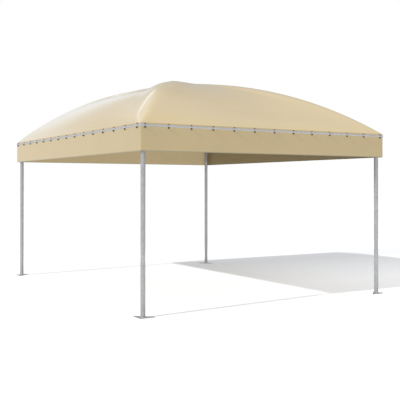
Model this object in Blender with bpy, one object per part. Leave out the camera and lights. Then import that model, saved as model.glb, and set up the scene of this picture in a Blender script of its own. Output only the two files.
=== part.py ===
"""Dome-roof gazebo: a rectangular canopy on four galvanised posts.

Each corner post stands on a triangular base plate and ends under a triangular head bracket. Four
eaves tubes run between corner sleeves that lie on the brackets. Two diagonal arches, each in two
halves that meet at the crown hub, spring from the brackets and carry the membrane dome. The hem of
the membrane ends just above the middle of the eaves tube and a straight valance hangs just below it,
so that the tube shows as a line between the two. Ties at even places hold both to the tube.

Metres, +Z up. The origin is on the floor, under the middle of the canopy. The front side looks
along -Y, and the long sides run along Y.
"""

import math

import bmesh
import bpy
from mathutils import Vector

# Plan and heights of the canopy, over the fabric
LENGTH_X = 4.00
LENGTH_Y = 5.00
CLEARANCE = 2.02
EAVE_Z = CLEARANCE + 0.345
DOME_RISE = 0.892
HALF_DIAGONAL = math.hypot(LENGTH_X, LENGTH_Y) / 2

# Hips: arcs that two sectors blend into over this share of the plan, and that end before the corner
HIP_BLEND = 0.025
HIP_REACH = (1 - HIP_BLEND / 2) * HALF_DIAGONAL
HIP_RADIUS = (HIP_REACH ** 2 + DOME_RISE ** 2) / (2 * DOME_RISE)

# Distance that touching pieces keep
GAP = 0.0003

# Membrane: rows from the apex to the eave, and columns from hip to hip, closer where it bends more
FABRIC = 0.002
ROW_STEPS = [row / 10 for row in range(1, 10)] + [0.95, 1 - HIP_BLEND / 2, 1]
HALF_COLUMNS = [0.3, 0.6, 0.8, 0.92, 0.97, 1]
COLUMN_STEPS = [-s for s in reversed(HALF_COLUMNS)] + [0] + HALF_COLUMNS

# Posts and the triangular plates at their feet
POST_RADIUS = 0.0603 / 2
POST_WALL = 0.0029
BASE_LEG = 0.21
BASE_THICKNESS = 0.008
POST_INSET = BASE_LEG / 3
ROUND_SIDES = 20

# Eaves tubes: a band of them shows between the hem and the valance, which lie against them
BEAM_RADIUS = 0.0424 / 2
BEAM_WALL = 0.0026
BEAM_Z = EAVE_Z - 0.031
SHOWN_HALF = 0.0135
BEAM_INSET = FABRIC + GAP + math.sqrt(BEAM_RADIUS ** 2 - SHOWN_HALF ** 2)

# Corner sleeves of the eaves tubes, with more of them showing because they are thicker
SLEEVE_RADIUS = 0.0483 / 2
SLEEVE_LEG = 0.050
SLEEVE_HALF = math.sqrt(SLEEVE_RADIUS ** 2 - (BEAM_INSET - FABRIC - GAP) ** 2) + GAP
NOTCH_LENGTH = 0.060

# Ties: a small loop above the middle of the tube and a ball below it
TIE_WIDTH = 0.024
TIE_OVERLAP = 0.006
LOOP_HEIGHT = 0.027
LOOP_DEPTH = 0.006
BALL_DROP = 0.035
BALL_DEPTH = 0.018

# Head brackets, between post and sleeve, with the gusset that carries the arch
HEAD_LEG = 0.24
HEAD_THICKNESS = 0.008
HEAD_TOP = BEAM_Z - SLEEVE_RADIUS - GAP
GUSSET_THICKNESS = 0.008
GUSSET_START = 0.105
GUSSET_END = 0.165

# Diagonal arches and the hub where they meet
ARCH_RADIUS = 0.0424 / 2
ARCH_DROP = 0.0265
ARCH_FOOT = 0.125
ARCH_SIDES = 12
CROWN_RADIUS = 0.050
CROWN_HEIGHT = 0.050

# Each side: the direction along it, the direction out of it, its half length and its distance from
# the middle
X, Y, Z = Vector((1, 0, 0)), Vector((0, 1, 0)), Vector((0, 0, 1))
SIDES = {
    "front": (X, -Y, LENGTH_X / 2, LENGTH_Y / 2),
    "right": (Y, X, LENGTH_Y / 2, LENGTH_X / 2),
    "back": (-X, Y, LENGTH_X / 2, LENGTH_Y / 2),
    "left": (-Y, -X, LENGTH_Y / 2, LENGTH_X / 2),
}

# How far the membrane hangs below the hips: first towards the crown, then towards the eave, where
# the sectors of the long sides stand a little proud instead
SAGS = {
    "front": (0.0, 0.080), "back": (0.0, 0.080),
    "right": (0.035, -0.025), "left": (0.035, -0.025),
}

# Ties of each side: their number, and the distance from the corner to the first one
TIES = {"front": (13, 0.064), "back": (13, 0.064), "right": (15, 0.083), "left": (15, 0.083)}

# Each corner: the signs of its X and Y
CORNERS = {
    "front_left": (-1, -1),
    "front_right": (1, -1),
    "back_right": (1, 1),
    "back_left": (-1, 1),
}


def clear_scene():
    for thing in list(bpy.data.objects):
        bpy.data.objects.remove(thing, do_unlink=True)


def make_material(name, colour, roughness, metallic):
    material = bpy.data.materials.new(name)
    material.use_nodes = True
    shader = material.node_tree.nodes["Principled BSDF"]
    shader.inputs["Base Color"].default_value = (*colour, 1.0)
    shader.inputs["Roughness"].default_value = roughness
    shader.inputs["Metallic"].default_value = metallic
    return material


def make_object(name, shape, material, smooth=False):
    """Turns a closed bmesh into an object of its own."""
    bmesh.ops.recalc_face_normals(shape, faces=shape.faces)
    mesh = bpy.data.meshes.new(name)
    shape.to_mesh(mesh)
    shape.free()
    mesh.materials.append(material)
    if smooth:
        mesh.shade_smooth()
        mesh.set_sharp_from_angle(angle=math.radians(40))
    thing = bpy.data.objects.new(name, mesh)
    bpy.context.scene.collection.objects.link(thing)
    return thing


def circle(centre, across, up, radius, sides):
    """Points of a circle in the plane of two directions, half a step turned so that it lies flat."""
    angles = [2 * math.pi * (k + 0.5) / sides for k in range(sides)]
    return [centre + radius * (math.cos(a) * across + math.sin(a) * up) for a in angles]


def loft(rings, closed=False):
    """Skin over a row of rings: capped at both ends, or joined from the last ring to the first."""
    shape = bmesh.new()
    loops = [[shape.verts.new(point) for point in ring] for ring in rings]
    pairs = list(zip(loops, loops[1:]))
    if closed:
        pairs.append((loops[-1], loops[0]))
    else:
        shape.faces.new(loops[0])
        shape.faces.new(loops[-1])
    for first, second in pairs:
        for k, corner in enumerate(first):
            after = (k + 1) % len(first)
            shape.faces.new((corner, first[after], second[after], second[k]))
    return shape


def prism(outline, depth):
    """Solid between an outline and its copy, moved by the vector depth."""
    return loft([outline, [point + depth for point in outline]])


def unite(thing, tool):
    """Joins a hidden solid to an object, so that the two are one body."""
    tool.hide_render = True
    tool.display_type = "WIRE"
    union = thing.modifiers.new("Union", "BOOLEAN")
    union.operation = "UNION"
    union.solver = "EXACT"
    union.object = tool


def hip_height(share):
    """Height of a hip above the eaves, from the apex (0) to where it ends, before the corner (1)."""
    return math.sqrt(HIP_RADIUS ** 2 - (share * HIP_REACH) ** 2) - (HIP_RADIUS - DOME_RISE)


def roof_point(side, t, s):
    """Point of the membrane: t runs from the apex to the eave, s across from hip to hip."""
    along, outward, half, distance = SIDES[side]
    high, low = SAGS[side]
    across = abs(s) * t
    crest = (t + across + math.hypot(t - across, HIP_BLEND)) / 2
    share = min(1, (crest - HIP_BLEND / 2) / (1 - HIP_BLEND / 2))
    sag = (27 / 4) * t * (1 - t) * (high * (1 - t) + low * t) * (1 - s ** 2)
    hip_gap = 0.75 * GAP
    return (s * (t * half - hip_gap) * along + t * distance * outward
            + (EAVE_Z + hip_height(share) - sag) * Z)


def hem_points(side, drop, inset=0.0):
    """Row of the membrane's edge at some way below the eave, on its outside or an inset further in."""
    along, outward, half, distance = SIDES[side]
    points = []
    for s in COLUMN_STEPS:
        band = SLEEVE_HALF if abs(s) > HALF_COLUMNS[-3] else SHOWN_HALF
        low = EAVE_Z - drop * (EAVE_Z - BEAM_Z - band)
        reach = half - inset - 0.75 * GAP
        points.append(s * reach * along + (distance - inset) * outward + low * Z)
    return points


def make_roof(side, material):
    """One of the four sectors of the membrane, between two hips and an eave, with its hem."""
    tip = roof_point(side, 0.002, 0)
    rows = [[tip]] + [[roof_point(side, t, s) for s in COLUMN_STEPS] for t in ROW_STEPS]
    under = [[point - FABRIC * Z for point in row] for row in rows[:-1]]
    rows.append(hem_points(side, 1))
    under += [hem_points(side, 0.1, FABRIC), hem_points(side, 1, FABRIC)]
    columns = len(COLUMN_STEPS) - 1
    shape = bmesh.new()
    upper = [[shape.verts.new(point) for point in row] for row in rows]
    lower = [[shape.verts.new(point) for point in row] for row in under]
    for skin in (upper, lower):
        for k in range(columns):
            shape.faces.new((skin[0][0], skin[1][k], skin[1][k + 1]))
        for near, far in zip(skin[1:], skin[2:]):
            for k in range(columns):
                a, b, c, d = near[k], near[k + 1], far[k + 1], far[k]
                left_half = k < columns / 2
                faces = ((a, b, d), (b, c, d)) if left_half else ((a, b, c), (a, c, d))
                for face in faces:
                    shape.faces.new(face)
    edges = [
        [row[0] for row in upper], [row[0] for row in lower],
        [row[-1] for row in upper], [row[-1] for row in lower],
        upper[-1], lower[-1],
    ]
    for top, bottom in zip(edges[::2], edges[1::2]):
        for k in range(len(top) - 1):
            shape.faces.new((top[k], top[k + 1], bottom[k + 1], bottom[k]))
    return make_object(f"roof_{side}", shape, material, smooth=True)


def make_valance(side, material):
    """Straight fabric skirt of one side, notched for the sleeves. Front and back run full length."""
    along, outward, half, distance = SIDES[side]
    end = half - FABRIC - GAP if side in ("left", "right") else half
    step = half - NOTCH_LENGTH
    top, notch = BEAM_Z - SHOWN_HALF, BEAM_Z - SLEEVE_HALF
    profile = [
        (-end, CLEARANCE), (end, CLEARANCE), (end, notch), (step, notch),
        (step, top), (-step, top), (-step, notch), (-end, notch),
    ]
    outline = [a * along + distance * outward + z * Z for a, z in profile]
    return make_object(f"valance_{side}", prism(outline, -FABRIC * outward), material)


def add_box(shape, low, along, up, depth):
    """Adds a box to a bmesh: from its lowest corner along three directions."""
    near = [shape.verts.new(low + step) for step in (Vector(), along, along + up, up)]
    far = [shape.verts.new(vertex.co + depth) for vertex in near]
    shape.faces.new(near)
    shape.faces.new(far)
    for k, corner in enumerate(near):
        after = (k + 1) % 4
        shape.faces.new((corner, near[after], far[after], far[k]))


def make_beam(side, material):
    """Eaves tube of one side between two sleeves, joined to the ties that hold the fabric to it."""
    along, outward, half, distance = SIDES[side]
    reach = half - SLEEVE_LEG - GAP
    middle = (distance - BEAM_INSET) * outward + BEAM_Z * Z

    def end(sign, radius):
        return circle(middle + sign * reach * along, outward, Z, radius, ROUND_SIDES)

    inner = BEAM_RADIUS - BEAM_WALL
    rings = [end(-1, BEAM_RADIUS), end(1, BEAM_RADIUS), end(1, inner), end(-1, inner)]
    beam = make_object(f"eaves_beam_{side}", loft(rings, closed=True), material, smooth=True)
    count, margin = TIES[side]
    spacing = 2 * (half - margin) / (count - 1)
    shape = bmesh.new()
    for k in range(count):
        start = (k * spacing - half + margin - TIE_WIDTH / 2) * along
        face = start + (distance + GAP) * outward + BEAM_Z * Z
        loop = (LOOP_HEIGHT - TIE_OVERLAP) * Z
        ball = (BALL_DROP - TIE_OVERLAP) * Z
        add_box(shape, face + TIE_OVERLAP * Z, TIE_WIDTH * along, loop, LOOP_DEPTH * outward)
        add_box(shape, face - BALL_DROP * Z, TIE_WIDTH * along, ball, BALL_DEPTH * outward)
    unite(beam, make_object(f"ties_{side}", shape, material))
    return beam


def make_sleeve(corner, material):
    """Mitred sleeve that joins two eaves tubes at a corner."""
    sign_x, sign_y = CORNERS[corner]
    middle = corner_point(corner, BEAM_INSET, BEAM_Z)
    leg = SLEEVE_LEG - BEAM_INSET
    rings = [
        circle(middle - sign_x * leg * X, sign_y * Y, Z, SLEEVE_RADIUS, ROUND_SIDES),
        circle(middle, sign_x * X + sign_y * Y, Z, SLEEVE_RADIUS, ROUND_SIDES),
        circle(middle - sign_y * leg * Y, sign_x * X, Z, SLEEVE_RADIUS, ROUND_SIDES),
    ]
    return make_object(f"eaves_sleeve_{corner}", loft(rings), material, smooth=True)


def corner_point(corner, inset, z):
    """Point on the plan's inside, the same distance from both sides of a corner."""
    sign_x, sign_y = CORNERS[corner]
    return Vector((sign_x * (LENGTH_X / 2 - inset), sign_y * (LENGTH_Y / 2 - inset), z))


def plate_outline(corner, inset, leg, z):
    """Right-angled triangle with its right angle at the corner of the canopy."""
    sign_x, sign_y = CORNERS[corner]
    tip = corner_point(corner, inset, z)
    return [tip, tip - sign_x * leg * X, tip - sign_y * leg * Y]


def make_base_plate(corner, material):
    outline = plate_outline(corner, 0, BASE_LEG, 0)
    return make_object(f"base_plate_{corner}", prism(outline, BASE_THICKNESS * Z), material)


def make_post(corner, material):
    foot = corner_point(corner, POST_INSET, BASE_THICKNESS + GAP)
    head = corner_point(corner, POST_INSET, HEAD_TOP - HEAD_THICKNESS - GAP)
    inner = POST_RADIUS - POST_WALL
    rings = [
        circle(foot, X, Y, POST_RADIUS, ROUND_SIDES), circle(head, X, Y, POST_RADIUS, ROUND_SIDES),
        circle(head, X, Y, inner, ROUND_SIDES), circle(foot, X, Y, inner, ROUND_SIDES),
    ]
    return make_object(f"post_{corner}", loft(rings, closed=True), material, smooth=True)


def diagonal(corner):
    """Level direction from the middle of the plan to a corner."""
    return corner_point(corner, 0, 0).normalized()


def arch_point(corner, reach):
    """Centre of the arch tube at a level distance from the middle, and its direction away from it."""
    tilt = math.asin(reach / (HIP_RADIUS - ARCH_DROP))
    out = math.sin(tilt) * diagonal(corner) + math.cos(tilt) * Z
    middle = (EAVE_Z + DOME_RISE - HIP_RADIUS) * Z
    return middle + (HIP_RADIUS - ARCH_DROP) * out, out


def make_arch(corner, material):
    """Half arch from its foot, over the head bracket, to the crown hub, bent where the roof is."""
    foot = HALF_DIAGONAL - ARCH_FOOT
    bends = [t * HALF_DIAGONAL for t in reversed(ROW_STEPS) if t * HALF_DIAGONAL < foot]
    across = diagonal(corner).cross(Z)
    rings = []
    for reach in [foot, *bends, CROWN_RADIUS + 2 * GAP]:
        centre, out = arch_point(corner, reach)
        rings.append(circle(centre, across, out, ARCH_RADIUS, ARCH_SIDES))
    return make_object(f"arch_{corner}", loft(rings), material, smooth=True)


def make_crown_hub(material):
    """Short round block that the four half arches meet, under the apex of the membrane."""
    apex = EAVE_Z + DOME_RISE
    first_row = roof_point("left", ROW_STEPS[0], 0)
    slope = (apex - first_row.z) / abs(first_row.x)
    top = (apex - FABRIC - slope * CROWN_RADIUS - GAP) * Z
    ring = circle(top, X, Y, CROWN_RADIUS, ROUND_SIDES)
    return make_object("crown_hub", prism(ring, -CROWN_HEIGHT * Z), material, smooth=True)


def make_head_bracket(corner, material):
    """Plate on the head of the post, with an upright gusset in line with the arch."""
    outline = plate_outline(corner, FABRIC + GAP, HEAD_LEG, HEAD_TOP)
    plate = make_object(f"head_bracket_{corner}", prism(outline, -HEAD_THICKNESS * Z), material)
    inward = -diagonal(corner)
    side = GUSSET_THICKNESS * inward.cross(Z)
    start = corner_point(corner, 0, HEAD_TOP - HEAD_THICKNESS / 2) - side / 2
    centre, out = arch_point(corner, HALF_DIAGONAL - ARCH_FOOT)
    seat = centre - (ARCH_RADIUS + GAP) * out
    slope = out.dot(-inward) / out.z
    seat_reach = HALF_DIAGONAL - seat.dot(-inward)
    rise = seat.z - start.z

    def at(reach, height):
        return start + reach * inward + height * Z

    outline = [
        at(GUSSET_START, 0), at(GUSSET_END, 0),
        at(GUSSET_END, rise + slope * (GUSSET_END - seat_reach) - GAP),
        at(seat_reach, rise), at(GUSSET_START, rise / 2),
    ]
    gusset = make_object(f"gusset_{corner}", prism(outline, side), material)
    unite(plate, gusset)
    return plate


def build():
    clear_scene()
    fabric = make_material("membrane", (0.66, 0.56, 0.37), 0.55, 0.0)
    steel = make_material("galvanised_steel", (0.56, 0.57, 0.58), 0.45, 0.9)
    pale_steel = make_material("eaves_tube", (0.62, 0.62, 0.62), 0.40, 0.8)
    for corner in CORNERS:
        make_base_plate(corner, steel)
        make_post(corner, steel)
        make_head_bracket(corner, steel)
        make_arch(corner, steel)
        make_sleeve(corner, pale_steel)
    for side in SIDES:
        make_beam(side, pale_steel)
        make_valance(side, fabric)
        make_roof(side, fabric)
    make_crown_hub(steel)


build()
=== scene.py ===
"""Looks of the dome-roof gazebo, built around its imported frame.

Metres, +Z up, in the frame of the solids: the origin is on the floor under the middle of the canopy,
the front side looks along -Y and the long sides run along Y.
"""

import math

import bmesh
import bpy
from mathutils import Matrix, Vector


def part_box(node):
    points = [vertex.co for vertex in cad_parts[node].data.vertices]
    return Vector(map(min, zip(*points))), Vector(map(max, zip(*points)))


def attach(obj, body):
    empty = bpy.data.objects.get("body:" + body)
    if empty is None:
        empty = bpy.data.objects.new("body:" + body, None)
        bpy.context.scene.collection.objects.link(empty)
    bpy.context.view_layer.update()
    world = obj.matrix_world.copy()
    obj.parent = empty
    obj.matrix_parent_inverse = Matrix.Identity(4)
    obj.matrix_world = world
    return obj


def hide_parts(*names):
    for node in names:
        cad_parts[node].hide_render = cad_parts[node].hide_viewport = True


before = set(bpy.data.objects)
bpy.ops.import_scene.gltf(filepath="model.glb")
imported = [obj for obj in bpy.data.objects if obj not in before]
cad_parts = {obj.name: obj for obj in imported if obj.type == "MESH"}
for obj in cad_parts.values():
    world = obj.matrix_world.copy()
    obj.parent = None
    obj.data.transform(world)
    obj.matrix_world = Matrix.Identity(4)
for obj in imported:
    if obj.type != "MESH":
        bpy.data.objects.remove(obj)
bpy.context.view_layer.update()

X, Y, Z = Vector((1, 0, 0)), Vector((0, 1, 0)), Vector((0, 0, 1))

# Driving sizes, taken from the frame where it has them
valance_low, valance_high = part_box("valance_front")
plate_low, plate_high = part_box("base_plate_front_left")
hub_low, hub_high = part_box("crown_hub")
HALF_X = valance_high.x
HALF_Y = -valance_low.y
CLEARANCE = valance_low.z
VALANCE_AND_BAND = 0.345
EAVE_Z = CLEARANCE + VALANCE_AND_BAND
DOME_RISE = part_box("roof_front")[1].z - EAVE_Z
HALF_DIAGONAL = math.hypot(HALF_X, HALF_Y)
SOLID_FABRIC = valance_high.y - valance_low.y

# Hips: round seen from the side, ending just before the corners. Their crests are eased over a share
# of the way from the apex to the eaves, most at the crown and least at the corners
HIP_REACH = 0.9875 * HALF_DIAGONAL
HIP_RADIUS = (HIP_REACH ** 2 + DOME_RISE ** 2) / (2 * DOME_RISE)
CROWN_ROUNDING = 0.176
LOW_ROUNDING = 0.072
CORNER_ROUNDING_SHARE = 0.0125
CROWN_REACH = 0.8
CORNER_FADE = 0.06

# Sectors: how far they drop beside the hips at the crown, and how far they hang towards the crown and
# towards the eaves, where those of the long sides stand proud instead
RIB_FRONT = 0.022
RIB_SIDE = 0.072
RIB_SPREAD = 0.222
SAG_FRONT = (0.002, 0.086)
SAG_SIDE = (0.066, -0.083)
SAG_SCALE = 27 / 4

# Fabric: its thickness, its outer face, and the fold and corners of the dome's rim
SKIN = 0.001
FACE_INSET = SOLID_FABRIC - SKIN
FOLD = 0.003
FOLD_STEPS = 5
CORNER_ROUNDING = 0.006
CORNER_STEPS = 6
ROOF_ROWS = 54
SIDE_COLUMNS = 40
COLUMN_CROWDING = 2.2
DOME_HEM_SHARES = (0.35, 0.7, 1.0)
DOME_HEM_GAP = 0.0002

# Valance: a welded hem that stands a little proud, and slight waves with their share, rate and start
HEM_HEIGHT = 0.030
HEM_STEP = 0.0005
HEM_ROUND = 0.0004
HEM_RISE = 0.0006
HEM_FALL = 0.0008
VALANCE_SPACING = 0.025
VALANCE_ROWS = (0.06, 0.10, 0.14, 0.18, 0.22, 0.25, 0.275, 0.29)
LEAST_ROW = 0.002
SLACK = 0.0022
SLACK_WAVES = ((0.5, 3.1, 0.4), (0.3, 7.3, 1.9), (0.2, 13.7, 0.0))
SLACK_FADE = 0.3

# Eaves tube and corner sleeves, which show as a band between the dome's hem and the valance
TUBE_RADIUS = 0.0424 / 2
TUBE_Z = EAVE_Z - 0.031
BAND_HALF = 0.0135
TUBE_DEPTH = math.sqrt(TUBE_RADIUS ** 2 - BAND_HALF ** 2)
TUBE_INSET = SOLID_FABRIC + 0.0003 + TUBE_DEPTH
TUBE_IN_SLEEVE = 0.004
TUBE_ROWS = 40
TUBE_SIDES = 32
SLEEVE_RADIUS = 0.0483 / 2
SLEEVE_HALF = math.sqrt(SLEEVE_RADIUS ** 2 - TUBE_DEPTH ** 2)
SLEEVE_LEG = 0.050
SLEEVE_EASE = 0.0012
SLEEVE_BEND = 0.003
SLEEVE_BEND_STEPS = 5
SLEEVE_SIDES = 36
NOTCH_LENGTH = 0.060
NOTCH_FADE = 0.006
NOTCH_SPACING = 0.004

# Ties: a flattened ball below the band, a toggle above it and an eyelet behind the ball
BALL_RADIUS = 0.0110
BALL_REACH = 0.92 * BALL_RADIUS
BALL_Z = TUBE_Z - BAND_HALF - 0.0105
BALL_SIDES = 16
TOGGLE_RADIUS = 0.0052
TOGGLE_HALF = 0.0105
TOGGLE_Z = TUBE_Z + 0.0205
TOGGLE_GAP = 0.0003
TOGGLE_SIDES = 12
EYELET_DROP = 0.003
EYELET_PROFILE = ((0.0, 0.0125), (0.0009, 0.0121), (0.0012, 0.0105), (0.0009, 0.0078), (0.0, 0.0070))
EYELET_SIDES = 24

# Posts, with the weld's and the head's profiles: height or drop, and how far out or in the face is
POST_RADIUS = 0.0603 / 2
POST_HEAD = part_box("post_front_left")[1].z
POST_ROWS = 12
POST_SIDES = 48
WELD_PROFILE = (
    (0.0, 0.0062), (0.0018, 0.0058), (0.0036, 0.0044), (0.0052, 0.0026), (0.0064, 0.0010), (0.0074, 0.0),
)
WELD_RIPPLE = 0.0005
WELD_BEADS = 16
HEAD_PROFILE = ((0.0012, 0.0), (0.0, 0.0010), (0.0, 0.0025), (0.05, 0.0029))

# Base plates, and where their holes are: from the corner, and along and in from the other two tips
BASE_LEG = plate_high.x - plate_low.x
BASE_THICKNESS = plate_high.z
POST_INSET = BASE_LEG / 3
PLATE_ROUNDING = 0.006
PLATE_EASE = 0.0010
HOLE_RADIUS = 0.006
HOLE_SIDES = 20
TIP_HOLE = 0.020
END_HOLE_ALONG = 0.042
END_HOLE_IN = 0.017

# Arches and the hub where they meet
ARCH_RADIUS = 0.0424 / 2
ARCH_DROP = 0.0265
ARCH_FOOT = 0.125
ARCH_ROWS = 48
ARCH_SIDES = 28
HUB_RADIUS = 0.050
HUB_GAP = 0.0006
HUB_EASE = 0.003
HUB_BORE = 0.010
HUB_SIDES = 48

# Sides: direction along, direction outward, half length, distance from the middle, ties, first tie
SIDES = {
    "front": (X, -Y, HALF_X, HALF_Y, 13, 0.064),
    "right": (Y, X, HALF_Y, HALF_X, 15, 0.083),
    "back": (-X, Y, HALF_X, HALF_Y, 13, 0.064),
    "left": (-Y, -X, HALF_Y, HALF_X, 15, 0.083),
}
CORNERS = {
    "front_left": (-1, -1),
    "front_right": (1, -1),
    "back_right": (1, 1),
    "back_left": (-1, 1),
}


# Camera and light

CAMERA_PLACE = (-5.8564, -10.3458, 1.6051)
CAMERA_PITCH = math.radians(90.418)
CAMERA_YAW = math.radians(-30.882)
CAMERA_LENS = 65.24
CAMERA_SHIFT_Y = -0.05
FLOOR_REACH = 150.0
FLOOR_Z = -0.0005

# Suns: where the light comes from, strength, and whether it casts shadows
SUNS = {
    "sun": (Vector((-0.853, -0.091, 0.518)), 0.98 * math.pi, True),
    "top_fill": (Z, 0.40 * math.pi, False),
    "front_fill": (-Y, 0.61 * math.pi, False),
}
SUN_ANGLE = math.radians(1.5)

# Softboxes that only reflections show: azimuth from +Y towards +X, elevation, soft edge, strength
WARM_BOXES = {
    "left_wall": ((-200, -12), (-30, 4), 7, 0.80),
}
COOL_BOXES = {
    "left_side": ((-200, 14), (20, 90), 16, 0.32),
    "horizon": ((-8, 20), (12, 18), 5, 0.50),
    "strip": ((-20, 22), (28.5, 32), 2.5, 0.80),
    "bright_strip": ((9, 19), (28, 31), 3, 0.25),
    "front_haze": ((26, 60), (10, 30), 8, 0.20),
    "ceiling": ((-200, 200), (40, 100), 9, 0.32),
    "ceiling_left": ((-200, 26), (38, 100), 8, 0.15),
}
WARM_COLOUR = (1.08, 1.00, 0.85)
COOL_COLOUR = (0.84, 1.00, 1.24)
WARM_ROOM = 0.30
WHITE = (1.0, 1.0, 1.0)
SKY_STRENGTH = 0.52


def make_camera():
    """The photograph's camera, as it was fitted to the gazebo."""
    data = bpy.data.cameras.new("camera")
    data.lens = CAMERA_LENS
    data.shift_y = CAMERA_SHIFT_Y
    data.clip_end = 2 * FLOOR_REACH
    camera = bpy.data.objects.new("camera", data)
    camera.location = CAMERA_PLACE
    camera.rotation_euler = (CAMERA_PITCH, 0, CAMERA_YAW)
    bpy.context.scene.collection.objects.link(camera)
    bpy.context.scene.camera = camera


def make_suns():
    """Sun from the left and two fills. Reflections show the softboxes instead."""
    for name, (source, strength, casts_shadow) in SUNS.items():
        data = bpy.data.lights.new(name, "SUN")
        data.energy = strength
        data.angle = SUN_ANGLE
        data.use_shadow = casts_shadow
        sun = bpy.data.objects.new(name, data)
        sun.visible_glossy = False
        sun.rotation_euler = source.to_track_quat("Z", "Y").to_euler()
        bpy.context.scene.collection.objects.link(sun)


# Shader nodes

def node_adder(tree):
    """A function that adds a node to a tree, with values or links for its inputs."""
    def add(kind, inputs=(), **settings):
        node = tree.nodes.new("ShaderNode" + kind)
        for key, value in settings.items():
            setattr(node, key, value)
        for key, value in dict(inputs).items():
            feed(tree, node.inputs[key], value)
        return node

    return add


def feed(tree, socket, value):
    """Links an output to a socket, or sets a plain value or an opaque colour on it."""
    if isinstance(value, bpy.types.NodeSocket):
        tree.links.new(value, socket)
    elif isinstance(value, tuple):
        socket.default_value = (*value, 1.0)
    else:
        socket.default_value = value


def combine(add, operation, first, second):
    """Output of a sum on one or two values."""
    return add("Math", {0: first, 1: second}, operation=operation).outputs["Value"]


def ramp(add, value, low, high, shape="LINEAR"):
    """Output that is 0 below low and 1 above high, or the other way round where high is the lower."""
    inputs = {"Value": value, "From Min": low, "From Max": high}
    return add("MapRange", inputs, interpolation_type=shape).outputs["Result"]


def spread(add, value, low, high):
    """Output that runs from low to high as a value runs from 0 to 1."""
    return add("MapRange", {"Value": value, "To Min": low, "To Max": high}).outputs["Result"]


def mix_colour(add, share, first, second):
    """Output that runs from the first colour to the second with a share from 0 to 1."""
    return add("Mix", {0: share, 6: first, 7: second}, data_type="RGBA").outputs[2]


def noise(add, place, scale, detail, roughness=0.5):
    """Output of a soft noise from 0 to 1."""
    inputs = {"Vector": place, "Scale": scale, "Detail": detail, "Roughness": roughness}
    return add("TexNoise", inputs).outputs["Fac"]


def bump(add, height, strength, distance):
    """Normal bent by a height from 0 to 1."""
    inputs = {"Height": height, "Strength": strength, "Distance": distance}
    return add("Bump", inputs).outputs["Normal"]


def band(add, angle, limits, edge):
    """1 between two angles in degrees, fading to 0 over an edge on both sides."""
    low, high = limits
    rise = ramp(add, angle, math.radians(low - edge), math.radians(low), "SMOOTHSTEP")
    fall = ramp(add, angle, math.radians(high + edge), math.radians(high), "SMOOTHSTEP")
    return combine(add, "MULTIPLY", rise, fall)


def make_world():
    """White studio: white to the camera, even to dull surfaces, and softboxes in reflections."""
    world = bpy.data.worlds.new("white studio")
    world.use_nodes = True
    world.cycles.sampling_method = "NONE"
    world.node_tree.nodes.clear()
    add = node_adder(world.node_tree)

    def background(colour, strength):
        return add("Background", {"Color": colour, "Strength": strength}).outputs["Background"]

    direction = add("SeparateXYZ", {"Vector": add("TexCoord").outputs["Generated"]}).outputs
    elevation = combine(add, "ARCSINE", direction["Z"], 0.0)
    azimuth = combine(add, "ARCTAN2", direction["X"], direction["Y"])
    mirrored = []
    groups = ((WARM_BOXES, WARM_COLOUR, WARM_ROOM), (COOL_BOXES, COOL_COLOUR, 0.0))
    for boxes, colour, glow in groups:
        for across, upward, edge, strength in boxes.values():
            in_azimuth = band(add, azimuth, across, edge)
            in_elevation = band(add, elevation, upward, edge)
            box = combine(add, "MULTIPLY", in_azimuth, in_elevation)
            glow = combine(add, "ADD", combine(add, "MULTIPLY", box, strength), glow)
        mirrored.append(background(colour, glow))
    room = add("AddShader", {0: mirrored[0], 1: mirrored[1]}).outputs["Shader"]
    path = add("LightPath").outputs
    soft = {"Fac": path["Is Diffuse Ray"], 1: room, 2: background(WHITE, SKY_STRENGTH)}
    unseen = add("MixShader", soft).outputs["Shader"]
    seen = {"Fac": path["Is Camera Ray"], 1: unseen, 2: background(WHITE, 1.0)}
    add("OutputWorld", {"Surface": add("MixShader", seen).outputs["Shader"]})
    bpy.context.scene.world = world
    bpy.context.scene.view_settings.view_transform = "Standard"


# Materials

# Membrane: two tones, roughness, its darker lower edge, and the weave's scale and depth
MEMBRANE_TONES = ((0.428, 0.344, 0.200), (0.446, 0.359, 0.211))
MEMBRANE_ROUGHNESS = (0.12, 0.16)
EDGE_COLOUR = (0.310, 0.285, 0.195)
EDGE_BAND = 0.012
EDGE_FADE = 0.002
WEAVE_SCALE = 210.0
WEAVE_DEPTH = 0.0003

# Steels: dark and light tone, crystals a metre, metallic share, roughness
STEEL_LOOK = ((0.330, 0.335, 0.347), (0.455, 0.461, 0.476), 70.0, 0.60, 0.34)
PALE_STEEL_LOOK = ((0.42, 0.42, 0.425), (0.50, 0.50, 0.505), 90.0, 0.45, 0.38)
STEEL_ROUGHNESS_SPREAD = (-0.06, 0.08)

PLASTIC_TONES = ((0.012, 0.012, 0.011), (0.030, 0.030, 0.028))
PLASTIC_ROUGHNESS = 0.5

# Floor: two tones, and where the darker one fades in or out along X or Y, with its share there. The
# darker tone is painted shade: it deepens the canopy's cast shadow and dims the lit floor around it
FLOOR_TONES = ((0.978, 0.985, 1.000), (0.700, 0.710, 0.728))
FLOOR_ROUGHNESS = 0.9
SHADOW_ACROSS = (1.1, 1.4)
SHADOW_DEPTH = (-1.0, 2.1)
BEHIND_DEPTH = (1.9, 2.4)
BEHIND_SHARE = 0.7
SHADOW_END = (3.6, 2.95)
FAR_DEPTH = (3.6, 6.0)
FAR_SHARE = 0.85
LIT_ACROSS = (1.3, 1.0)
LIT_SHARE = 0.5


def make_material(name, look):
    """A material whose look gives the inputs of its Principled shader."""
    material = bpy.data.materials.new(name)
    material.use_nodes = True
    tree = material.node_tree
    for socket, value in look(node_adder(tree)).items():
        feed(tree, tree.nodes["Principled BSDF"].inputs[socket], value)
    return material


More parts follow.
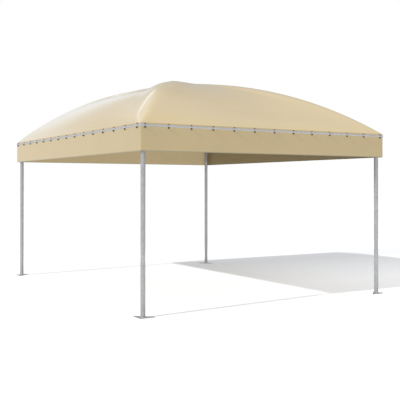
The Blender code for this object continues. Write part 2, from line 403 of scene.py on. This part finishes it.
def membrane_look(add):
    """Beige coated fabric: a fine weave under a satin coating, faintly mottled, with a darker edge."""
    place = add("TexCoord").outputs["Object"]
    cloth = add("UVMap", uv_map="UVMap").outputs["UV"]
    mottle = ramp(add, noise(add, place, 0.9, 3.0, 0.6), 0.3, 0.7)
    tone = mix_colour(add, mottle, *MEMBRANE_TONES)
    height = add("SeparateXYZ", {"Vector": place}).outputs["Z"]
    edge_top = CLEARANCE + EDGE_BAND
    above_edge = ramp(add, height, edge_top - EDGE_FADE, edge_top)
    threads = []
    for direction in ("X", "Y"):
        wave = add("TexWave", {"Vector": cloth, "Scale": WEAVE_SCALE}, bands_direction=direction)
        threads.append(wave.outputs["Fac"])
    return {
        "Base Color": mix_colour(add, above_edge, EDGE_COLOUR, tone),
        "Normal": bump(add, combine(add, "MULTIPLY", *threads), 0.10, WEAVE_DEPTH),
        "Roughness": spread(add, noise(add, place, 24.0, 4.0, 0.65), *MEMBRANE_ROUGHNESS),
    }


def steel_look(add, dark, light, spangle, metallic, roughness):
    """Zinc-coated steel: crystals of slightly different grey, a little dull, with faint blotches."""
    place = add("TexCoord").outputs["Object"]
    crystal = add("TexVoronoi", {"Vector": place, "Scale": spangle, "Randomness": 1.0})
    tone = add("SeparateColor", {"Color": crystal.outputs["Color"]}).outputs["Red"]
    blotched = combine(add, "MULTIPLY", tone, noise(add, place, 7.0, 5.0, 0.6))
    smoothest, roughest = (roughness + change for change in STEEL_ROUGHNESS_SPREAD)
    return {
        "Base Color": mix_colour(add, ramp(add, blotched, 0.05, 0.6), dark, light),
        "Roughness": spread(add, tone, smoothest, roughest),
        "Normal": bump(add, noise(add, place, 260.0, 2.0), 0.12, 0.0006),
        "Metallic": metallic,
    }


def plastic_look(add):
    """Dark moulded plastic of the ties."""
    grain = noise(add, add("TexCoord").outputs["Object"], 900.0, 2.0)
    return {
        "Base Color": mix_colour(add, grain, *PLASTIC_TONES),
        "Normal": bump(add, grain, 0.1, 0.0002),
        "Roughness": PLASTIC_ROUGHNESS,
    }


def floor_look(add):
    """White studio floor with painted shade: greyer in the canopy's shadow towards its far part, and
    dimmed to only just white where it is lit.
    """
    place = add("SeparateXYZ", {"Vector": add("TexCoord").outputs["Object"]}).outputs
    across, depth = place["X"], place["Y"]
    # Painted shade: the darker tone deepens the cast shadow towards its far part, and dims the lit floor
    # behind, far off and beside the gazebo
    shadow = combine(add, "MULTIPLY", ramp(add, depth, *SHADOW_DEPTH), ramp(add, across, *SHADOW_ACROSS))
    behind = combine(add, "MULTIPLY", ramp(add, depth, *BEHIND_DEPTH), BEHIND_SHARE)
    near = combine(add, "MAXIMUM", shadow, behind)
    near = combine(add, "MULTIPLY", near, ramp(add, depth, *SHADOW_END))
    far = combine(add, "MULTIPLY", ramp(add, depth, *FAR_DEPTH), FAR_SHARE)
    lit = combine(add, "MULTIPLY", ramp(add, across, *LIT_ACROSS), LIT_SHARE)
    grey = combine(add, "MAXIMUM", combine(add, "MAXIMUM", near, far), lit)
    return {"Base Color": mix_colour(add, grey, *FLOOR_TONES), "Roughness": FLOOR_ROUGHNESS}


MEMBRANE = make_material("membrane", membrane_look)
STEEL = make_material("galvanised_steel", lambda add: steel_look(add, *STEEL_LOOK))
PALE_STEEL = make_material("eaves_tube", lambda add: steel_look(add, *PALE_STEEL_LOOK))
PLASTIC = make_material("tie_plastic", plastic_look)
FLOOR = make_material("floor", floor_look)


# Meshes

# Degrees above which an edge is shown sharp
SMOOTH_ANGLE = 40.0
DOME_SMOOTH_ANGLE = 75.0
VALANCE_SMOOTH_ANGLE = 25.0
PLATE_SMOOTH_ANGLE = 30.0


def make_piece(name, shape, material, nodes=(), smooth=SMOOTH_ANGLE):
    """Turns a bmesh into a piece of the gazebo that stands for some nodes of the frame."""
    bmesh.ops.recalc_face_normals(shape, faces=shape.faces)
    mesh = bpy.data.meshes.new(name)
    shape.to_mesh(mesh)
    shape.free()
    mesh.materials.append(material)
    mesh.shade_smooth()
    mesh.set_sharp_from_angle(angle=math.radians(smooth))
    piece = bpy.data.objects.new(name, mesh)
    bpy.context.scene.collection.objects.link(piece)
    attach(piece, "root")
    if nodes:
        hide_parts(*nodes)
    return piece


def join_rings(shape, rings, capped=False):
    """Skin over closed rows of points, with caps if the ends are to be shut."""
    rows = [[shape.verts.new(point) for point in ring] for ring in rings]
    for first, second in zip(rows, rows[1:]):
        for k, vertex in enumerate(first):
            after = (k + 1) % len(first)
            shape.faces.new((vertex, first[after], second[after], second[k]))
    if capped:
        shape.faces.new(rows[0][::-1])
        shape.faces.new(rows[-1])
    return rows


def circle(centre, across, up, radius, sides):
    """Points of a circle in the plane of two directions."""
    angles = [2 * math.pi * k / sides for k in range(sides)]
    return [centre + radius * (math.cos(a) * across + math.sin(a) * up) for a in angles]


def lathe(shape, centre, axis, across, profile, sides):
    """Turned form: the profile holds distances along the axis and radii."""
    up = axis.cross(across)
    rings = [circle(centre + place * axis, across, up, radius, sides) for place, radius in profile]
    join_rings(shape, rings, capped=True)


def thicken(piece):
    """Gives a sheet its thickness, inward from its outer face."""
    solid = piece.modifiers.new("Solidify", "SOLIDIFY")
    solid.thickness = SKIN
    solid.offset = -1


def lay_weave(piece, flat_of):
    """Gives the mesh its cloth coordinates, in metres."""
    layer = piece.data.uv_layers.new(name="UVMap")
    for loop in piece.data.loops:
        layer.data[loop.index].uv = flat_of(piece.data.vertices[loop.vertex_index].co)


# Membrane dome

def hip_height(share):
    """Height of a hip above the eaves, from the apex (0) to where it ends, before the corner (1)."""
    return math.sqrt(HIP_RADIUS ** 2 - (share * HIP_REACH) ** 2) - (HIP_RADIUS - DOME_RISE)


def dome_height(x, y):
    """Height of the membrane's outer face over a point of the plan.

    The hips are round and stand proud where they are high, and are sharp and flush at the corners.
    """
    a, b = min(1, abs(x) / HALF_X), min(1, abs(y) / HALF_Y)
    t = max(a, b)
    open_share = min(1, (1 - t) / CORNER_FADE)
    rounding = LOW_ROUNDING + (CROWN_ROUNDING - LOW_ROUNDING) * max(0, 1 - t / CROWN_REACH)
    rounding = CORNER_ROUNDING_SHARE + (rounding - CORNER_ROUNDING_SHARE) * open_share
    off_hip = abs(a * a - b * b) / math.sqrt(2 * (a * a + b * b)) if t > 0 else 0
    crest = t + max(0, rounding - off_hip) ** 2 / (4 * rounding)
    share = min(1, (crest - rounding / 4) / (1 - CORNER_ROUNDING_SHARE / 4))
    rib_height, high, low = (RIB_SIDE, *SAG_SIDE) if a > b else (RIB_FRONT, *SAG_FRONT)
    from_hip = off_hip * HALF_X * HALF_Y / HALF_DIAGONAL
    rib = rib_height * (1 - t) ** 2 * (1 + 2 * t) * (1 - math.exp(-(from_hip / RIB_SPREAD) ** 4))
    s = min(a, b) / t if t > 0 else 0
    sag = SAG_SCALE * t * (1 - t) * (high * (1 - t) + low * t) * (1 - s ** 2)
    return EAVE_Z + hip_height(share) - sag - rib


def round_corner(x, y, half_x, half_y):
    """Turns the square corners of a plan into quarter circles."""
    over_x = abs(x) - (half_x - CORNER_ROUNDING)
    over_y = abs(y) - (half_y - CORNER_ROUNDING)
    if over_x <= 0 or over_y <= 0:
        return x, y
    shrink = max(over_x, over_y) / math.hypot(over_x, over_y)
    return (
        math.copysign(half_x - CORNER_ROUNDING + shrink * over_x, x),
        math.copysign(half_y - CORNER_ROUNDING + shrink * over_y, y),
    )


def column_steps():
    """Places across a sector from -1 to just before 1, closer together towards its hips."""
    half = [1 - (1 - k / SIDE_COLUMNS) ** COLUMN_CROWDING for k in range(SIDE_COLUMNS + 1)]
    return [-s for s in reversed(half[1:])] + half[:-1]


def perimeter(half_x, half_y):
    """Points around a plan from its front left corner, each with its direction outward and place."""
    points = []
    for along, outward, half, _, _, _ in SIDES.values():
        own_half, own_distance = (half_x, half_y) if half == HALF_X else (half_y, half_x)
        for s in column_steps():
            points.append((s * own_half * along + own_distance * outward, outward, s * own_half))
    return points


def band_half(place, half):
    """Half height of the tube's band: more of the thicker sleeves shows at the corners."""
    share = min(1, max(0, (abs(place) - (half - NOTCH_LENGTH)) / NOTCH_FADE + 0.5))
    return BAND_HALF + (SLEEVE_HALF - BAND_HALF) * share


def fold_ring(plan, rim_ring, inner_ring, turned, flat_x, flat_y):
    """Row of the membrane's fold over the eaves, where a share of the bend is turned."""
    ring = []
    for (point, outward, place), rim, inner in zip(plan, rim_ring, inner_ring):
        slope = math.atan2(inner.z - rim.z, (rim - inner).to_2d().length)
        bend = slope + (math.pi / 2 - slope) * turned
        radius = FOLD / (1 - math.sin(slope))
        out = radius * (math.sin(bend) - math.sin(slope))
        down = radius * (math.cos(slope) - math.cos(bend))
        grown_x, grown_y = flat_x + out, flat_y + out
        at_corner = math.isclose(abs(place), flat_x if abs(outward.y) else flat_y)
        grown = point + out * outward
        if at_corner:
            grown = Vector((math.copysign(grown_x, point.x), math.copysign(grown_y, point.y), 0))
        x, y = round_corner(grown.x, grown.y, grown_x, grown_y)
        ring.append(Vector((x, y, rim.z - down)))
    return ring


def make_membrane():
    """The whole dome as one sheet, folded over the eaves and ending in a hem above the tube."""
    face_x, face_y = HALF_X - FACE_INSET, HALF_Y - FACE_INSET
    flat_x, flat_y = face_x - FOLD, face_y - FOLD
    plan = perimeter(flat_x, flat_y)
    rings = []
    for row in range(1, ROOF_ROWS + 1):
        t = row / ROOF_ROWS
        ring = []
        for point, _, _ in plan:
            x, y = round_corner(point.x, point.y, flat_x, flat_y)
            ring.append(Vector((t * x, t * y, dome_height(t * x, t * y))))
        rings.append(ring)
    inner, rim = rings[-2:]
    for k in range(1, FOLD_STEPS + 1):
        rings.append(fold_ring(plan, rim, inner, k / FOLD_STEPS, flat_x, flat_y))
    folded = rings[-1]
    for share in DOME_HEM_SHARES:
        ring = []
        for (_, outward, place), top in zip(plan, folded):
            bottom = TUBE_Z + band_half(place, face_x if abs(outward.y) else face_y) + DOME_HEM_GAP
            ring.append(Vector((top.x, top.y, top.z + share * (bottom - top.z))))
        rings.append(ring)
    shape = bmesh.new()
    apex = shape.verts.new((0, 0, dome_height(0, 0)))
    first = join_rings(shape, rings)[0]
    for k, vertex in enumerate(first):
        shape.faces.new((apex, vertex, first[(k + 1) % len(first)]))
    nodes = [f"roof_{side}" for side in SIDES]
    piece = make_piece("roof_membrane", shape, MEMBRANE, nodes, DOME_SMOOTH_ANGLE)
    lay_weave(piece, lambda co: (co.x, co.y) if co.z > EAVE_Z else (co.x + co.y, co.z))
    area = sum(face.area for face in piece.data.polygons)
    thicken(piece)
    return piece, area


# Valance

def valance_path():
    """Places around the valance: outer face, direction outward, run, place along its side, half side."""
    face_x, face_y = HALF_X - FACE_INSET, HALF_Y - FACE_INSET
    path = []
    run = 0.0
    for along, outward, half, _, _, _ in SIDES.values():
        own_half, own_distance = (face_x, face_y) if half == HALF_X else (face_y, face_x)
        straight = own_half - CORNER_ROUNDING
        count = round(2 * straight / VALANCE_SPACING)
        places = [2 * straight * k / count - straight for k in range(count + 1)]
        for shift in (-NOTCH_SPACING, 0.0, NOTCH_SPACING):
            notch = own_half - NOTCH_LENGTH
            places += [-notch - shift, notch + shift]
        for place in sorted(places):
            point = place * along + own_distance * outward
            path.append((point, outward, run + place + straight, place, own_half))
        run += 2 * straight
        centre = straight * along + (own_distance - CORNER_ROUNDING) * outward
        for k in range(1, CORNER_STEPS):
            angle = math.pi / 2 * k / CORNER_STEPS
            out = math.cos(angle) * outward + math.sin(angle) * along
            point = centre + CORNER_ROUNDING * out
            path.append((point, out, run + CORNER_ROUNDING * angle, own_half, own_half))
        run += CORNER_ROUNDING * math.pi / 2
    return path


def slack(run, drop, to_corner):
    """How far the skirt stands in or out: more towards its free edge, nothing at the corners."""
    wave = sum(share * math.sin(run * rate + start) for share, rate, start in SLACK_WAVES)
    return SLACK * wave * drop ** 1.5 * min(1, to_corner / SLACK_FADE) ** 2


def make_valance():
    """The straight skirt as one closed band of fabric with a welded hem."""
    path = valance_path()
    hem = [(0.0, -HEM_ROUND), (HEM_RISE, HEM_STEP), (HEM_HEIGHT / 2, HEM_STEP)]
    hem += [(HEM_HEIGHT - HEM_FALL, HEM_STEP), (HEM_HEIGHT, 0.0)]
    height = TUBE_Z - BAND_HALF - CLEARANCE
    rings = []
    for level, proud in hem + [(row, 0.0) for row in VALANCE_ROWS] + [(None, 0.0)]:
        ring = []
        for point, outward, run, place, half in path:
            top = TUBE_Z - band_half(place, half) - CLEARANCE
            rise = top if level is None else min(level, top - LEAST_ROW)
            out = proud + slack(run, 1 - rise / height, half - abs(place))
            ring.append(Vector((point.x, point.y, CLEARANCE + rise)) + out * outward)
        rings.append(ring)
    shape = bmesh.new()
    join_rings(shape, rings)
    nodes = [f"valance_{side}" for side in SIDES]
    piece = make_piece("valance", shape, MEMBRANE, nodes, VALANCE_SMOOTH_ANGLE)
    lay_weave(piece, lambda co: (co.x + co.y, co.z))
    thicken(piece)
    return piece, (height, path[-1][2])


# Eaves tube, sleeves and ties

def make_tube(side):
    """Smooth eaves tube of one side, with its ends in the sleeves."""
    along, outward, half, distance, _, _ = SIDES[side]
    middle = (distance - TUBE_INSET) * outward + TUBE_Z * Z
    reach = half - SLEEVE_LEG + TUBE_IN_SLEEVE
    rings = []
    for k in range(TUBE_ROWS + 1):
        place = reach * (2 * k / TUBE_ROWS - 1)
        rings.append(circle(middle + place * along, outward, Z, TUBE_RADIUS, TUBE_SIDES))
    shape = bmesh.new()
    join_rings(shape, rings, capped=True)
    return make_piece(f"eaves_tube_{side}", shape, PALE_STEEL, [f"eaves_beam_{side}"])


def make_sleeve(corner):
    """Mitred corner sleeve with eased ends and an eased bend."""
    sign_x, sign_y = CORNERS[corner]
    out_x, out_y = sign_x * X, sign_y * Y
    middle = Vector((sign_x * (HALF_X - TUBE_INSET), sign_y * (HALF_Y - TUBE_INSET), TUBE_Z))
    leg = SLEEVE_LEG - TUBE_INSET

    def end(own, other):
        """Rings of one end, from its face inward."""
        rings = []
        for far, ease in ((leg, 2 * SLEEVE_EASE), (leg, SLEEVE_EASE), (leg - SLEEVE_EASE, 0.0)):
            rings.append(circle(middle - far * own, other, Z, SLEEVE_RADIUS - ease, SLEEVE_SIDES))
        return rings

    bends = []
    for k in range(SLEEVE_BEND_STEPS + 1):
        turn = math.pi / 2 * k / SLEEVE_BEND_STEPS
        bend = SLEEVE_BEND * (math.cos(turn) * out_y + math.sin(turn) * out_x)
        ring = []
        for j in range(SLEEVE_SIDES):
            angle = 2 * math.pi * j / SLEEVE_SIDES
            reach = SLEEVE_RADIUS * math.cos(angle) - SLEEVE_BEND
            ring.append(middle + reach * (out_x + out_y) + bend + SLEEVE_RADIUS * math.sin(angle) * Z)
        bends.append(ring)
    shape = bmesh.new()
    join_rings(shape, end(out_x, out_y) + bends + end(out_y, out_x)[::-1], capped=True)
    make_piece(f"eaves_sleeve_{corner}_skin", shape, PALE_STEEL, [f"eaves_sleeve_{corner}"])


def tie_places(side):
    """Points of the valance's outer face, on the floor's level, where one side has its ties."""
    along, outward, half, distance, count, margin = SIDES[side]
    spacing = 2 * (half - margin) / (count - 1)
    places = [k * spacing - half + margin for k in range(count)]
    return [place * along + (distance - FACE_INSET) * outward for place in places]


def round_profile(steps, blunt, reach, radius):
    """Half an ellipse to turn: places along the axis and radii, with a blunt share at both ends."""
    angles = [math.pi * (blunt + (1 - 2 * blunt) * k / steps) for k in range(steps + 1)]
    return [(-reach * math.cos(a), radius * math.sin(a)) for a in angles]


def make_ties(side):
    """Ball below the tube and toggle above it at every tie of one side."""
    along, outward = SIDES[side][:2]
    ball = round_profile(10, 0.03, BALL_REACH, BALL_RADIUS)
    toggle = []
    for place, radius in round_profile(8, 0.05, TOGGLE_RADIUS, TOGGLE_RADIUS):
        stretch = math.copysign(TOGGLE_HALF - TOGGLE_RADIUS, place + 1e-9)
        toggle.append((place + stretch, radius))
    shape = bmesh.new()
    for place in tie_places(side):
        ball_centre = place + (BALL_REACH + HEM_STEP) * outward + BALL_Z * Z
        lathe(shape, ball_centre, outward, along, ball, BALL_SIDES)
        toggle_centre = place + (TOGGLE_RADIUS + TOGGLE_GAP) * outward + TOGGLE_Z * Z
        lathe(shape, toggle_centre, along, outward, toggle, TOGGLE_SIDES)
    make_piece(f"ties_{side}", shape, PLASTIC)


def make_eyelets(side):
    """Pressed metal rings in the valance, behind the balls."""
    along, outward = SIDES[side][:2]
    shape = bmesh.new()
    for place in tie_places(side):
        centre = place + (BALL_Z - EYELET_DROP) * Z
        rings = [circle(centre + out * outward, along, Z, r, EYELET_SIDES) for out, r in EYELET_PROFILE]
        join_rings(shape, rings)
    make_piece(f"eyelets_{side}", shape, STEEL)


# Posts, plates and arches

def make_post(corner):
    """Round post, open at its head, with the weld that joins it to its base plate."""
    sign_x, sign_y = CORNERS[corner]
    foot = Vector((sign_x * (HALF_X - POST_INSET), sign_y * (HALF_Y - POST_INSET), 0))
    levels = [(BASE_THICKNESS + rise, POST_RADIUS + out, out > 0) for rise, out in WELD_PROFILE]
    for k in range(1, POST_ROWS):
        rise = (POST_HEAD - BASE_THICKNESS) * k / POST_ROWS
        levels.append((BASE_THICKNESS + rise, POST_RADIUS, False))
    levels += [(POST_HEAD - drop, POST_RADIUS - inset, False) for drop, inset in HEAD_PROFILE]
    rings = []
    for z, radius, welded in levels:
        ring = []
        for k in range(POST_SIDES):
            angle = 2 * math.pi * k / POST_SIDES
            own = radius + (WELD_RIPPLE * math.sin(WELD_BEADS * angle) if welded else 0)
            ring.append(foot + Vector((own * math.cos(angle), own * math.sin(angle), z)))
        rings.append(ring)
    shape = bmesh.new()
    join_rings(shape, rings, capped=True)
    make_piece(f"post_{corner}_skin", shape, STEEL, [f"post_{corner}"])


def rounded_outline(points, rounding, inset):
    """Outline with rounded corners, moved inward by an inset."""
    outline = []
    for k, tip in enumerate(points):
        before = (points[k - 1] - tip).normalized()
        after = (points[(k + 1) % len(points)] - tip).normalized()
        bisector = (before + after).normalized()
        centre = tip + rounding / math.sin(before.angle(after) / 2) * bisector
        start = -(after - after.dot(before) * before).normalized()
        end = -(before - before.dot(after) * after).normalized()
        steps = 4
        for step in range(steps + 1):
            outline.append(centre + (rounding - inset) * start.slerp(end, step / steps))
    return outline


def make_base_plate(corner):
    """Triangular base plate with eased edges and three drilled holes."""
    sign_x, sign_y = CORNERS[corner]
    tip = Vector((sign_x * HALF_X, sign_y * HALF_Y, 0))
    points = [tip, tip - sign_x * BASE_LEG * X, tip - sign_y * BASE_LEG * Y]
    holes = [
        tip + TIP_HOLE * Vector((-sign_x, -sign_y, 0)),
        points[1] + Vector((sign_x * END_HOLE_ALONG, -sign_y * END_HOLE_IN, 0)),
        points[2] + Vector((-sign_x * END_HOLE_IN, sign_y * END_HOLE_ALONG, 0)),
    ]
    shape = bmesh.new()

    def level(z, ease):
        """Outline and holes at one height, drawn back from the faces by an ease."""
        loops = [rounded_outline(points, PLATE_ROUNDING, ease)]
        loops += [circle(hole, X, Y, HOLE_RADIUS + ease, HOLE_SIDES) for hole in holes]
        return [[shape.verts.new(point + z * Z) for point in loop] for loop in loops]

    levels = [level(0, 0), level(BASE_THICKNESS - PLATE_EASE, 0), level(BASE_THICKNESS, PLATE_EASE)]
    for low, high in zip(levels, levels[1:]):
        for below, above in zip(low, high):
            for k, vertex in enumerate(below):
                after = (k + 1) % len(below)
                shape.faces.new((vertex, below[after], above[after], above[k]))
    for loops in (levels[0], levels[-1]):
        edges = []
        for loop in loops:
            for k, vertex in enumerate(loop):
                edges.append(shape.edges.get((vertex, loop[(k + 1) % len(loop)])))
        bmesh.ops.triangle_fill(shape, edges=edges, use_beauty=True, use_dissolve=False)
    name = f"base_plate_{corner}"
    make_piece(f"{name}_skin", shape, STEEL, [name], PLATE_SMOOTH_ANGLE)


def make_arch(corner):
    """Half arch from above its head bracket to the hub, a smooth bent tube."""
    sign_x, sign_y = CORNERS[corner]
    diagonal = Vector((sign_x * HALF_X, sign_y * HALF_Y, 0)).normalized()
    across = diagonal.cross(Z)
    bend_radius = HIP_RADIUS - ARCH_DROP
    middle = (EAVE_Z + DOME_RISE - HIP_RADIUS) * Z
    far, near = HALF_DIAGONAL - ARCH_FOOT, HUB_RADIUS + HUB_GAP
    rings = []
    for k in range(ARCH_ROWS + 1):
        tilt = math.asin((far + (near - far) * k / ARCH_ROWS) / bend_radius)
        out = math.sin(tilt) * diagonal + math.cos(tilt) * Z
        rings.append(circle(middle + bend_radius * out, across, out, ARCH_RADIUS, ARCH_SIDES))
    shape = bmesh.new()
    join_rings(shape, rings, capped=True)
    make_piece(f"arch_{corner}_skin", shape, STEEL, [f"arch_{corner}"])


def make_hub():
    """Turned block that the arches meet, with eased edges."""
    height = hub_high.z - hub_low.z
    profile = [
        (0.0, HUB_BORE), (0.0, HUB_RADIUS - HUB_EASE), (HUB_EASE, HUB_RADIUS),
        (height - HUB_EASE, HUB_RADIUS), (height, HUB_RADIUS - HUB_EASE), (height, HUB_BORE),
    ]
    shape = bmesh.new()
    lathe(shape, hub_low.z * Z, Z, X, profile, HUB_SIDES)
    make_piece("crown_hub_skin", shape, STEEL, ["crown_hub"])


def dress_brackets():
    """The head brackets keep their solids and get the steel's finish."""
    for corner in CORNERS:
        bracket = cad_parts[f"head_bracket_{corner}"]
        bracket.data.materials.clear()
        bracket.data.materials.append(STEEL)


def make_floor():
    """Wide studio floor, which lights nothing from below."""
    shape = bmesh.new()
    corners = [(-1, -1), (1, -1), (1, 1), (-1, 1)]
    shape.faces.new([shape.verts.new((a * FLOOR_REACH, b * FLOOR_REACH, FLOOR_Z)) for a, b in corners])
    mesh = bpy.data.meshes.new("floor")
    shape.to_mesh(mesh)
    shape.free()
    mesh.materials.append(FLOOR)
    floor = bpy.data.objects.new("floor", mesh)
    floor.visible_diffuse = False
    bpy.context.scene.collection.objects.link(floor)


def build():
    """Puts the studio up and dresses the frame."""
    make_camera()
    make_suns()
    make_world()
    make_floor()
    dress_brackets()
    for corner in CORNERS:
        make_base_plate(corner)
        make_post(corner)
        make_arch(corner)
        make_sleeve(corner)
    make_hub()
    tubes = [make_tube(side) for side in SIDES]
    for side in SIDES:
        make_ties(side)
        make_eyelets(side)
    membrane, area = make_membrane()
    valance, flat = make_valance()


build()
